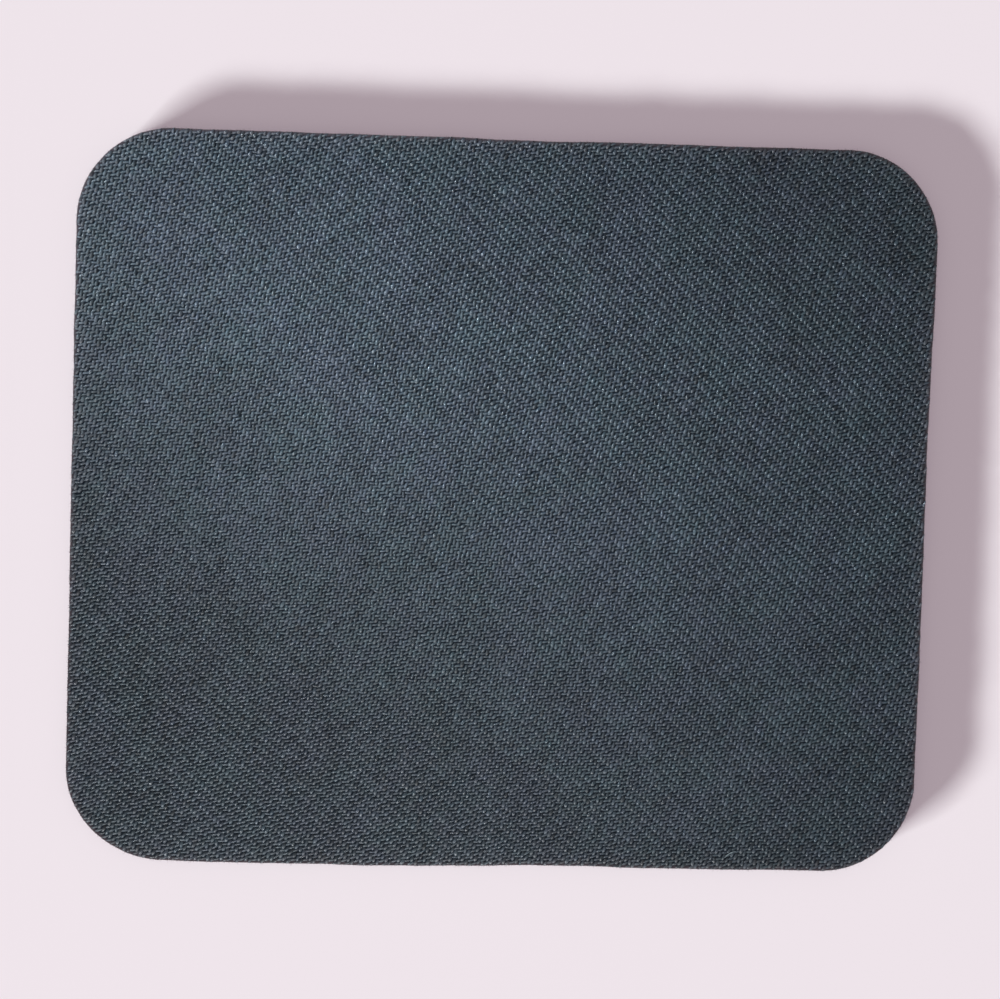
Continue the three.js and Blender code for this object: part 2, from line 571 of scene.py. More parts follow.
@dataclass(frozen=True)
class ClothFace:
    """The woven face: a ground sheet, the floats of warp and weft on it, and its frayed cut rim.

    Attributes:
        plan: Plan of the pad.
        weave: Lattice of the yarns.
        low: Height of the cloth's back.
        high: Height of the floats' backs.
        rim_inset: How far the cloth's edge stands in from the cut line at the desk.
        roll: Radius over which the die rolled the rim down.
        frayed: Width of the band along the rim where the glue and the cut yarns show.
        round_rings: Rings of points up the round rim of the ground.
        ground_depth: How far the ground lies under the floats' backs.
        float_margin: Least distance from the cloth's edge to the middle of a float.
        loose: How far each float lies off its own place.
        sway: Usual turn of a float off its set's direction, in degrees.
        uneven: Usual spread of the floats' length, width and crown, as shares.
        mottle: Usual spread of the floats' tone.
        streak: Usual spread of tone between whole yarns.
        glints: Share of the floats with a glint, a painted highlight in their tone backed by more gloss.
        glint_range: Least and most tone that a glint adds, as a painted highlight.
        gloss: Mean and usual spread of a float's gloss.
        glint_gloss: Gloss that a glint adds for its tone.
        worn: Depth from the rim over which the floats' wear falls to about a third.
        worn_range: Least and most wear of a float, as shares of the usual there.
        seed: Start of the random numbers.
    """

    plan: PadPlan
    weave: TwillWeave
    low: float
    high: float
    rim_inset: float = 0.15 * MM
    roll: float = 0.28 * MM
    frayed: float = 0.9 * MM
    round_rings: int = 6
    ground_depth: float = 0.42 * MM
    float_margin: float = 0.1 * MM
    loose: float = 0.03 * MM
    sway: float = 9.0
    uneven: tuple[float, float, float] = (0.07, 0.08, 0.1)
    mottle: float = 0.17
    streak: float = 0.05
    glints: float = 0.05
    glint_range: tuple[float, float] = (0.2, 0.7)
    gloss: tuple[float, float] = (0.35, 0.25)
    glint_gloss: float = 0.8
    worn: float = 1.8 * MM
    worn_range: tuple[float, float] = (0.4, 1.6)
    seed: int = 7

    def drop(self, depth: Array) -> Array:
        """Fall of the face at a depth inside the cloth's edge: a quarter circle of the roll's radius."""
        left = np.clip(1.0 - depth / self.roll, 0.0, 1.0)
        return self.roll * (1.0 - np.sqrt(1.0 - left**2))

    def ground(self) -> Piece:
        """Makes the sheet under the floats: up a quarter round, then in across the frayed band.

        Returns:
            The piece, with an attribute that is 1 at the rim and fades to 0 across the frayed band.
        """
        top = self.high - self.ground_depth
        radius = top - self.low
        turns = np.linspace(0.0, math.pi / 2, self.round_rings)
        rise, inset = self.low + radius * np.sin(turns), self.rim_inset + radius * (1.0 - np.cos(turns))
        profile = [*zip(rise, inset, strict=True), (top, inset[-1] + self.frayed)]
        points, faces = self.plan.rings(profile)
        piece = make_object("cloth_ground", points, faces, sharp_over=50.0)
        edge = np.repeat([1.0] * self.round_rings + [0.0], len(points) // len(profile))
        add_values(piece, "edge", edge)
        return piece

    def yarn_floats(self, yarn: Yarn, form: FloatForm) -> Piece:
        """All the floats of one set as one mesh.

        Every point is its float's middle, plus the form's shares turned to the float's own direction.
        Points past the cloth's edge are drawn back to it, and points near it fall with the rolled rim.

        Args:
            yarn: The set.
            form: Form of one float.

        Returns:
            The piece, with each float's tone and painted glint as an attribute and a map along and
            across the yarn.
        """
        rng = np.random.default_rng(self.seed + (yarn is Yarn.WEFT))
        x, y, own = self.weave.floats(yarn, self.plan, margin=self.rim_inset + self.float_margin)
        count = len(x)
        x, y = x + rng.normal(0.0, self.loose, count), y + rng.normal(0.0, self.loose, count)
        step = self.weave.steps()[1 if yarn is Yarn.WARP else 0]
        angle = math.atan2(step[1], step[0]) + np.radians(form.turn + rng.normal(0.0, self.sway, count))
        along, across, up = form.section()
        size = 1.0 + rng.normal(0.0, 1.0, (count, 3)) * self.uneven
        reach = form.half_length * size[:, :1] * along
        side = form.half_width * size[:, 1:2] * across
        px = x[:, None] + reach * np.cos(angle)[:, None] - side * np.sin(angle)[:, None]
        py = y[:, None] + reach * np.sin(angle)[:, None] + side * np.cos(angle)[:, None]
        ground = self.high - self.ground_depth
        pz = ground + form.crown * size[:, 2:] * up - form.tuck * (np.abs(along) == 1.0)
        px, py, pz = self.seat(px, py, pz)
        points = self.plan.lie.moved(np.stack([px, py, pz], axis=2))
        faces = copied(form.faces(), FLOAT_POINTS, count)
        piece = make_object(f"{yarn.value}_floats", points, faces, sharp_over=form.sharp)
        self.add_tone_and_painted_glint(piece, own, form.tone, rng)
        wear = np.exp(-self.plan.depth(x, y) / self.worn) * rng.uniform(*self.worn_range, count)
        add_values(piece, "yarn_wear", np.repeat(wear, FLOAT_POINTS))
        self.add_map(piece, along, across)
        return piece

    def seat(self, px: Array, py: Array, pz: Array) -> tuple[Array, Array, Array]:
        """Draws points back to the cloth's edge and lets them fall with its rolled rim.

        Args:
            px: X of the points.
            py: Y of the points.
            pz: Z of the points.

        Returns:
            The moved points.
        """
        depth = self.plan.depth(px, py) - self.rim_inset
        past = np.minimum(depth, 0.0)
        out_x, out_y = self.plan.outward(px, py)
        fallen = pz - self.drop(np.maximum(depth, 0.0))
        return px + out_x * past, py + out_y * past, np.maximum(fallen, self.low)

    def add_tone_and_painted_glint(self, piece: Piece, own: Array, usual: float, rng: np.random.Generator) -> None:
        """Gives each float a tone and a gloss: its yarn's, its own and, now and then, a glint, painted
        into the tone as a highlight and added to the gloss.

        Args:
            piece: The floats.
            own: Number of each float's yarn.
            usual: Usual tone.
            rng: Random numbers.
        """
        count = len(own)
        of_yarn = rng.normal(0.0, self.streak, own.max() - own.min() + 1)[own - own.min()]
        # Painted highlight: a glint lightens a few floats' colour as well as making them glossier.
        glint = (rng.random(count) < self.glints) * rng.uniform(*self.glint_range, count)
        tone = usual + of_yarn + rng.normal(0.0, self.mottle, count) + glint
        gloss = self.gloss[0] + rng.normal(0.0, self.gloss[1], count) + self.glint_gloss * glint
        add_values(piece, "tone_and_painted_glint", np.repeat(np.clip(tone, 0.0, 1.0), FLOAT_POINTS))
        add_values(piece, "yarn_gloss", np.repeat(np.clip(gloss, 0.0, 1.0), FLOAT_POINTS))

    def add_map(self, piece: Piece, along: Array, across: Array) -> None:
        """Gives each float a map that runs along the yarn and across it.

        Args:
            piece: The floats.
            along: The form's shares of the half length.
            across: The form's shares of the half width.
        """
        mesh = piece.data
        corners = np.empty(len(mesh.loops), np.int32)
        mesh.loops.foreach_get("vertex_index", corners)
        one = np.stack([along, across], axis=1) * 0.5 + 0.5
        layer = mesh.uv_layers.new(name="along_yarn")
        layer.uv.foreach_set("vector", one[corners % FLOAT_POINTS].astype(np.float32).ravel())


@dataclass(frozen=True)
class CutEnds:
    """Frayed fibres that stand out of the cut rim, each a thin three-sided spike with a knee.

    Attributes:
        cloth: The cloth whose rim they stand out of.
        count: Fibres round the whole rim.
        length: Length that the spread is a share of.
        spread: Shape and scale of the gamma distribution of the lengths.
        radius: Radius of a fibre at its foot.
        root: How deep its foot stands inside the cloth's edge.
        clear: How far the feet stay over the cloth's back and under the floats' backs.
        swing: Usual turn off the straight way out, in radians.
        lift: Mean and usual spread of the rise, in radians.
        knee: Where the fibre bends, as a share of its length.
        knee_radius: Its radius there, as a share of that at its foot.
        bend: Usual shift of the tip to the side, as a share of the length.
    """

    cloth: ClothFace
    count: int = 9000
    length: float = 0.5 * MM
    spread: tuple[float, float] = (3.0, 0.18)
    radius: float = 0.02 * MM
    root: float = 0.12 * MM
    clear: tuple[float, float] = (0.08 * MM, 0.3 * MM)
    swing: float = 0.6
    lift: tuple[float, float] = (0.1, 0.35)
    knee: float = 0.55
    knee_radius: float = 0.75
    bend: float = 0.25

    def build(self) -> Piece:
        """Makes the fibres: each a foot ring, a knee ring and a tip, along its own way out of the rim.

        Returns:
            The piece.
        """
        rng = np.random.default_rng(self.cloth.seed + 2)
        x, y = self.cloth.plan.outline()
        known = (x, y, *self.cloth.plan.outward(x, y))
        pick = rng.uniform(0.0, len(x), self.count)
        stations = np.arange(len(x) + 1)
        at_x, at_y, out_x, out_y = (np.interp(pick, stations, v[stations % len(x)]) for v in known)
        swing, lift = rng.normal(0.0, self.swing, self.count), rng.normal(*self.lift, self.count)
        way_x = out_x * np.cos(swing) - out_y * np.sin(swing)
        way_y = out_x * np.sin(swing) + out_y * np.cos(swing)
        way = np.stack([way_x * np.cos(lift), way_y * np.cos(lift), np.sin(lift)], axis=1)
        size = self.length * rng.gamma(*self.spread, self.count)[:, None, None]
        lowest, highest = self.cloth.low + self.clear[0], self.cloth.high - self.clear[1]
        height = rng.uniform(lowest, highest, self.count)
        inset = self.cloth.rim_inset + self.root
        foot = np.stack([at_x - out_x * inset, at_y - out_y * inset, height], axis=1)[:, None]
        side = np.cross(way, [0.0, 0.0, 1.0])
        side /= np.linalg.norm(side, axis=1, keepdims=True)
        over = np.cross(side, way)
        turn = np.arange(3) * 2 * math.pi / 3
        ring = side[:, None] * np.cos(turn)[None, :, None] + over[:, None] * np.sin(turn)[None, :, None]
        line, ring = way[:, None] * size, ring * self.radius
        bend = rng.normal(0.0, self.bend, (self.count, 1, 1)) * side[:, None] * size
        levels = [foot + ring, foot + line * self.knee + ring * self.knee_radius, foot + line + bend]
        points = self.cloth.plan.lie.moved(np.concatenate(levels, axis=1))
        return make_object("cut_yarn_ends", points, copied(self.faces(), points.shape[1], self.count))

    @staticmethod
    def faces() -> list[tuple[int, int, int]]:
        """The ten triangles of one fibre: the foot's cap, two for each lower side, and the tip."""
        sides = [(0, 1, 4), (0, 4, 3), (1, 2, 5), (1, 5, 4), (2, 0, 3), (2, 3, 5)]
        return [(0, 2, 1), *sides, (3, 4, 6), (4, 5, 6), (5, 3, 6)]


@dataclass(frozen=True)
class StrayFibre:
    """A pale cut fibre that lies on the cloth near its lower rim, curved like a clipped hair.

    Attributes:
        start: Its end nearer the rim.
        finish: Its other end.
        bow: How far its middle stands off the line between them.
        radius: Its radius.
        rise: Height of its middle line at the ends and what the middle adds, in radii.
        tip: Square of its radius at both ends, as a share of the full one's.
        steps: Rings of points along it.
        sides: Points on each ring.
    """

    start: tuple[float, float] = (57.9 * MM, -86.6 * MM)
    finish: tuple[float, float] = (60.8 * MM, -84.8 * MM)
    bow: float = 0.35 * MM
    radius: float = 0.1 * MM
    rise: tuple[float, float] = (0.6, 0.8)
    tip: float = 0.02
    steps: int = 19
    sides: int = 6

    def build(self, height: float) -> Piece:
        """Makes the fibre: a tube along a shallow bow, drawn in at both ends.

        The middle line is the straight line plus bow sin(pi t) sideways, and the radius is
        radius sqrt(sin(pi t)), with t running from 0 to 1 along it.

        Args:
            height: Height of the floats' crests, on which it lies.

        Returns:
            The piece.
        """
        t = np.linspace(0.0, 1.0, self.steps)
        start, finish = np.array(self.start), np.array(self.finish)
        line = finish - start
        aside = np.array([-line[1], line[0]]) / np.hypot(*line)
        plane = start + line * t[:, None] + aside * self.bow * np.sin(math.pi * t)[:, None]
        lift = height + self.radius * (self.rise[0] + self.rise[1] * np.sin(math.pi * t))
        along = np.gradient(plane, axis=0)
        along /= np.linalg.norm(along, axis=1, keepdims=True)
        turn = np.arange(self.sides) * 2 * math.pi / self.sides
        size = self.radius * np.sqrt(np.maximum(np.sin(math.pi * t), self.tip))[:, None]
        x = plane[:, :1] - along[:, 1:] * size * np.cos(turn)
        y = plane[:, 1:] + along[:, :1] * size * np.cos(turn)
        z = lift[:, None] + size * np.sin(turn)
        number = numbered(self.steps, self.sides)
        faces = [*walls(number)[:, ::-1].tolist(), number[0].tolist(), number[-1, ::-1].tolist()]
        return make_object("stray_fibre", np.stack([x, y, z], axis=2), faces)


@dataclass(frozen=True)
class FilmLine:
    """The adhesive film between cloth and rubber, which shows as a thin line at the cut.

    Attributes:
        plan: Plan of the pad.
        low: Height of its lower face.
        high: Height of its upper face.
        inset: How far its edge stands in from the cut line.
    """

    plan: PadPlan
    low: float
    high: float
    inset: float = 0.2 * MM

    def build(self) -> Piece:
        """Makes the film, with a straight edge."""
        points, faces = self.plan.rings([(self.low, self.inset), (self.high, self.inset)])
        return make_object("film_line", points, faces, sharp_over=40.0)


@dataclass(frozen=True)
class SpongeBase:
    """The sponge rubber base: a wavy anti-slip underside and a cut wall that sprang back hollow.

    Attributes:
        plan: Plan of the pad.
        top: Height of its upper face.
        pitch: Spacing of the grooves.
        mouth: Width of a groove at the desk.
        floor: Width of a groove's floor.
        depth: Depth of a groove.
        wave_length: Length of one wave.
        swing: How far a groove swings to each side.
        edge_land: Least width of the plain land along the long sides.
        hollow: How far the wall bows in at half height.
        taper: How far the wall leans in at the top.
        column_step: Spacing of the grid along the grooves.
        slope_rows: Rows of points on each slope of a groove, both of its edges among them.
        land_rows: Rows from a groove's mouth to the middle of the land.
        side_rows: Rows on the land along each long side.
        wall_steps: Rings of faces up the wall.
        repeats: Times that the ends of the rows are worked out again, each time nearer the truth.
    """

    plan: PadPlan
    top: float
    pitch: float = 9.0 * MM
    mouth: float = 3.4 * MM
    floor: float = 1.8 * MM
    depth: float = 0.5 * MM
    wave_length: float = 30.0 * MM
    swing: float = 2.4 * MM
    edge_land: float = 3.0 * MM
    hollow: float = 0.25 * MM
    taper: float = 0.15 * MM
    column_step: float = 1.5 * MM
    slope_rows: int = 6
    land_rows: int = 3
    side_rows: int = 8
    wall_steps: int = 8
    repeats: int = 40

    def middles(self) -> Array:
        """Mean lines of the grooves, spread evenly about the middle."""
        count = int((self.plan.width - 2 * (self.edge_land + self.swing) - self.mouth) / self.pitch) + 1
        return (np.arange(count) - (count - 1) / 2) * self.pitch

    def rows(self) -> tuple[Array, Array]:
        """Rows of the underside: most across the grooves, and fewer on the lands and at the long sides.

        Returns:
            For each row, the mean line that it belongs to and its place beside that line.
        """
        slope = np.linspace(self.floor / 2, self.mouth / 2, self.slope_rows)
        land = np.linspace(self.mouth / 2, self.pitch / 2, self.land_rows + 1)[1:]
        half = np.concatenate([[0.0], slope, land])
        one = np.concatenate([-half[:0:-1], half])
        middles = self.middles()
        line = np.repeat(middles, len(one) - 1)
        beside = np.tile(one[:-1], len(middles))
        last = middles[-1] + self.pitch / 2
        past = last - self.plan.reach()[1]
        turn = np.linspace(math.asin(past / self.plan.corner), math.pi / 2, self.side_rows + 1)[1:]
        edge = self.plan.reach()[1] + self.plan.corner * np.sin(turn)
        line = np.concatenate([-edge[::-1], line, [last], edge])
        return line, np.concatenate([np.zeros(len(edge)), beside, [0.0], np.zeros(len(edge))])

    def waved(self, x: Array, line: Array, beside: Array) -> Array:
        """Y of a row at X: its mean line, plus its place beside it, plus the swing of the wave.

        The wave is swing sin(2 pi x / wave length), and fades to nothing over the land at each long
        side. A place beside the line is measured square to the wave, so it grows by the slope's secant.

        Args:
            x: Places along the grooves.
            line: Mean line of each row.
            beside: Place of each row beside it.

        Returns:
            The Y of each place.
        """
        edge = self.plan.width / 2
        start = self.middles()[-1] + self.mouth / 2
        fade = np.clip((edge - np.abs(line + beside)) / (edge - start), 0.0, 1.0)
        phase = 2 * math.pi * x / self.wave_length
        secant = np.hypot(1.0, self.swing * 2 * math.pi / self.wave_length * np.cos(phase))
        near = np.clip((self.pitch / 2 - np.abs(beside)) / (self.pitch / 2 - self.mouth / 2), 0.0, 1.0)
        return line + beside * (1.0 + (secant - 1.0) * near) + self.swing * np.sin(phase) * fade

    def ends(self, side: float, line: Array, beside: Array) -> Array:
        """X where each row meets the rim on one side, found by repeating x = half length at y(x).

        Args:
            side: -1 for the left end and 1 for the right.
            line: Mean line of each row.
            beside: Place of each row beside it.

        Returns:
            The X of each row's end.
        """
        x = side * self.plan.half_length(line + beside)
        for _ in range(self.repeats):
            x = side * self.plan.half_length(self.waved(x, line, beside))
        return x

    def inset(self, height: Array) -> Array:
        """How far the wall stands in at the share t of its height: taper t + 4 hollow t (1 - t)."""
        rise = height / self.top
        return self.taper * rise + 4.0 * rise * (1.0 - rise) * self.hollow

    def build(self) -> Piece:
        """Makes the base: the grid of the underside, the wall up from its border, and a flat top.

        Returns:
            The piece.
        """
        line, beside = self.rows()
        columns = int(self.plan.length / self.column_step) + 1
        share = np.linspace(0.0, 1.0, columns)[None, :]
        left, right = (self.ends(side, line, beside)[:, None] for side in (-1.0, 1.0))
        x = left + (right - left) * share
        y = self.waved(x, line[:, None], beside[:, None])
        slope = (self.mouth / 2 - np.abs(beside)) / (self.mouth / 2 - self.floor / 2)
        in_groove = np.isin(line, self.middles())
        z = (self.depth * ease(slope) * in_groove)[:, None] + 0.0 * x
        sheet = np.stack([x, y, z], axis=2).reshape(-1, 3)
        border = rim_of_sheet(len(line), columns)
        points, numbers = [sheet], [border]
        foot = sheet[border]
        out_x, out_y = self.plan.outward(foot[:, 0], foot[:, 1])
        out = np.stack([out_x, out_y], axis=1)
        sheet[border, :2] -= out * self.inset(foot[:, 2])[:, None]
        for level in range(1, self.wall_steps + 1):
            height = foot[:, 2] + (self.top - foot[:, 2]) * level / self.wall_steps
            plane = foot[:, :2] - out * self.inset(height)[:, None]
            points.append(np.column_stack([plane, height]))
            numbers.append(len(sheet) + (level - 1) * len(border) + np.arange(len(border)))
        quads = np.concatenate([sheet_quads(len(line), columns), walls(numbers)])
        faces = [*quads.tolist(), numbers[-1].tolist()]
        points = self.plan.lie.moved(np.concatenate(points))
        return make_object("sponge_base", points, faces, sharp_over=40.0)


@dataclass(frozen=True)
class YarnFinish:
    """Dyed filament yarn in tones that differ from float to float, a few with a painted glint, and with
    fine twisted strands.

    Attributes:
        dark: Colour of the darkest floats.
        light: Colour of the lightest floats.
        dust: Colour of the worn fuzz near the rim.
        green: Tint of the greenish blotches.
        purple: Tint of the purplish blotches.
        patch: Size of the lighter and darker patches.
        shade: How much they change the tone.
        blotch: Size of the tinted blotches.
        hues: Noise below which all is greenish and above which all is purplish.
        fuzz: Share of the dust on a float with full wear.
        rough: Roughness of a float with no gloss.
        gloss: How much of it a full gloss takes away.
        shine: Level of the shader's reflection.
        strands: Strands across a float.
        twist: Lean of the strands, in turns along one float.
        relief: Depth between the strands.
    """

    dark: Colour = linear(28, 38, 48)
    light: Colour = linear(74, 88, 102)
    dust: Colour = linear(122, 106, 110)
    green: Colour = (0.86, 1.0, 0.93)
    purple: Colour = (1.01, 0.92, 1.0)
    patch: float = 26.0 * MM
    shade: float = 1.2
    blotch: float = 19.0 * MM
    hues: tuple[float, float] = (0.36, 0.64)
    fuzz: float = 0.22
    rough: float = 0.53
    gloss: float = 0.3
    shine: float = 1.0
    strands: float = 7.0
    twist: float = 3.0
    relief: float = 0.03 * MM

    def build(self, name: str) -> bpy.types.Material:
        """Makes the material.

        Args:
            name: Name of the material.

        Returns:
            The material.
        """
        finish = Finish(name, self.dark, Specular_IOR_Level=self.shine)
        shade = (finish.noise(self.patch, detail=5.0, rough=0.75) - 0.5) * self.shade
        # The tone carries each float's own tone and, on a few floats, a painted glint.
        body = finish.blend(finish.attribute("tone_and_painted_glint") + shade, self.dark, self.light)
        side = finish.noise(self.blotch, detail=5.0, rough=0.9).within(*self.hues)
        hue = finish.blend(side, self.green, self.purple)
        worn = finish.attribute("yarn_wear") * self.fuzz
        finish.link("Base Color", finish.blend(worn, finish.tint(body, hue), self.dust))
        place = finish.add("ShaderNodeUVMap", {"uv_map": "along_yarn"}, {})
        along = finish.add("ShaderNodeSeparateXYZ", {}, {"Vector": place}, "X")
        across = Wire(finish, along.socket.node.outputs["Y"])
        strand = ((across * self.strands + along * self.twist) * (2 * math.pi)).wave()
        finish.relief(strand, self.relief, strength=0.5)
        finish.link("Roughness", self.rough - finish.attribute("yarn_gloss") * self.gloss)
        return finish.material


@dataclass(frozen=True)
class GroundPaintedShade:
    """The depth of the cloth between the floats, in painted shade: its colours are darker than the
    yarn's own and stand for the shade in the gaps.

    Attributes:
        deep: Painted shade, the colour in the gaps, darker than the yarn's dye.
        lit: Painted light, the colour of the yarns there that catch some light.
        frayed: Colour along the cut rim, where the glue and the cut yarns show.
        grain: Size of the painted lit spots.
        patch: Size of the frayed patches.
        cover: Least share of the frayed colour at the rim.
    """

    deep: Colour = linear(9, 16, 24)
    lit: Colour = linear(26, 36, 48)
    frayed: Colour = linear(98, 86, 92)
    grain: float = 0.4 * MM
    patch: float = 0.8 * MM
    cover: float = 0.3

    def build(self) -> bpy.types.Material:
        """Makes the material.

        Returns:
            The material.
        """
        finish = Finish("ground_painted_shade", self.deep, Roughness=0.8, Specular_IOR_Level=0.2)
        # Painted shade and light: the gaps get a darker colour than the yarn's own, with painted lit
        # spots in it.
        inside = finish.blend(finish.noise(self.grain), self.deep, self.lit)
        share = finish.attribute("edge") * (finish.noise(self.patch, detail=3.0) + self.cover)
        finish.link("Base Color", finish.blend(share, inside, self.frayed))
        return finish.material


@dataclass(frozen=True)
class FibreFinish:
    """Loose fibres: matt, and uneven in colour along their length.

    Attributes:
        dull: Colour of the duller ones.
        pale: Colour of the paler ones.
        patch: Size of the paler places.
        rough: Least roughness, and what the palest places add.
    """

    dull: Colour
    pale: Colour
    patch: float = 0.5 * MM
    rough: tuple[float, float] = (0.45, 0.3)

    def build(self, name: str) -> bpy.types.Material:
        """Makes the material.

        Args:
            name: Name of the material.

        Returns:
            The material.
        """
        finish = Finish(name, self.dull)
        grain = finish.noise(self.patch, detail=3.0)
        finish.link("Base Color", finish.blend(grain.within(0.35, 0.65), self.dull, self.pale))
        finish.link("Roughness", grain * self.rough[1] + self.rough[0])
        return finish.material


@dataclass(frozen=True)
class RubberFinish:
    """Black sponge rubber: a moulded skin below, and open cells on the cut wall.

    Attributes:
        black: Colour of the rubber.
        dust: Colour of worn, dusty places.
        cell: Size of the sponge's cells.
        grain: Size of the skin's grain.
        patch: Size of the worn places.
        rough: Least roughness, and what the grain adds.
        relief: Depth of the cells.
    """

    black: Colour = linear(26, 26, 28)
    dust: Colour = linear(58, 56, 55)
    cell: float = 0.32 * MM
    grain: float = 0.25 * MM
    patch: float = 22.0 * MM
    rough: tuple[float, float] = (0.5, 0.3)
    relief: float = 0.08 * MM

    def build(self) -> bpy.types.Material:
        """Makes the material.

        Returns:
            The material.
        """
        finish = Finish("sponge_rubber", self.black)
        inputs = {"Vector": finish.place(), "Scale": 1.0 / self.cell}
        cells = finish.add("ShaderNodeTexVoronoi", {}, inputs, "Distance")
        grain = finish.noise(self.grain, detail=3.0)
        worn = finish.noise(self.patch, detail=4.0).within(0.45, 0.75)
        finish.link("Base Color", finish.blend(worn * 0.35 + grain * 0.15, self.black, self.dust))
        finish.link("Roughness", grain * self.rough[1] + self.rough[0])
        finish.relief(cells * 0.6 + grain * 0.4, self.relief, strength=0.6)
        return finish.material


@dataclass(frozen=True)
class FilmFinish:
    """Hot-melt film, seen only as a thin glossy line at the cut.

    Attributes:
        amber: Colour of the film over the black base.
        smoke: Its darker places.
        streak: Size of these.
        ripple: Size and depth of the ripple on it.
    """

    amber: Colour = linear(70, 58, 52)
    smoke: Colour = linear(40, 34, 34)
    streak: float = 2.5 * MM
    ripple: tuple[float, float] = (0.4 * MM, 0.02 * MM)

    def build(self) -> bpy.types.Material:
        """Makes the material.

        Returns:
            The material.
        """
        finish = Finish("hot_melt_film", self.amber, Roughness=0.3, Coat_Weight=0.3)
        streaks = finish.noise(self.streak, detail=3.0)
        finish.link("Base Color", finish.blend(streaks, self.smoke, self.amber))
        finish.relief(finish.noise(self.ripple[0]), self.ripple[1], strength=0.5)
        return finish.material


def area_lamp(name: str, sides: tuple[float, float], colour: Colour) -> bpy.types.Light:
    """Makes a rectangular lamp.

    Args:
        name: Name of the lamp.
        sides: Its width and height.
        colour: Its colour.

    Returns:
        The lamp, whose power is still to be set.
    """
    data = bpy.data.lights.new(name, "AREA")
    data.shape = "RECTANGLE"
    data.size, data.size_y = sides
    data.color = colour
    return data


@dataclass(frozen=True)
class SoftBox:
    """A soft lamp with a grid before it, which keeps its light in a cone that fades to its rim.

    Attributes:
        name: Name of the lamp.
        azimuth: Where it hangs, as the turn from the pad's length, in degrees.
        elevation: Its angle over the desk, in degrees.
        away: Its distance from the origin.
        aim: The spot on the desk that it looks at.
        sides: Its width and height.
        cone: Full angle of the cone, in degrees.
        share: Light at its aim, as a share of white.
        colour: Its colour.
    """

    name: str
    azimuth: float
    elevation: float
    away: float
    aim: tuple[float, float]
    sides: tuple[float, float]
    cone: float
    share: float
    colour: Colour

    def place(self) -> Vector:
        """The lamp's middle, from its two angles and its distance.

        Returns:
            The place.
        """
        turn, rise = math.radians(self.azimuth), math.radians(self.elevation)
        level = math.cos(rise)
        return self.away * Vector((level * math.cos(turn), level * math.sin(turn), math.sin(rise)))

    def data(self) -> bpy.types.Light:
        """Makes the lamp, of the power that lights its aim to its share of white.

        Without a grid, a lamp of power P lights a spot straight before it at a distance d as white where
        P = (pi d)^2, and more is needed in step with the slant. A grid of half angle h gathers the light
        by 1 / (1 - h / tan h), and so needs that much less.

        Returns:
            The lamp.
        """
        data = area_lamp(self.name, self.sides, self.colour)
        data.spread = math.radians(self.cone)
        beam = Vector((*self.aim, 0.0)) - self.place()
        half = data.spread / 2
        gathered = 1.0 - half / math.tan(half)
        data.energy = self.share * (math.pi * beam.length) ** 2 * beam.length / abs(beam.z) * gathered
        return data


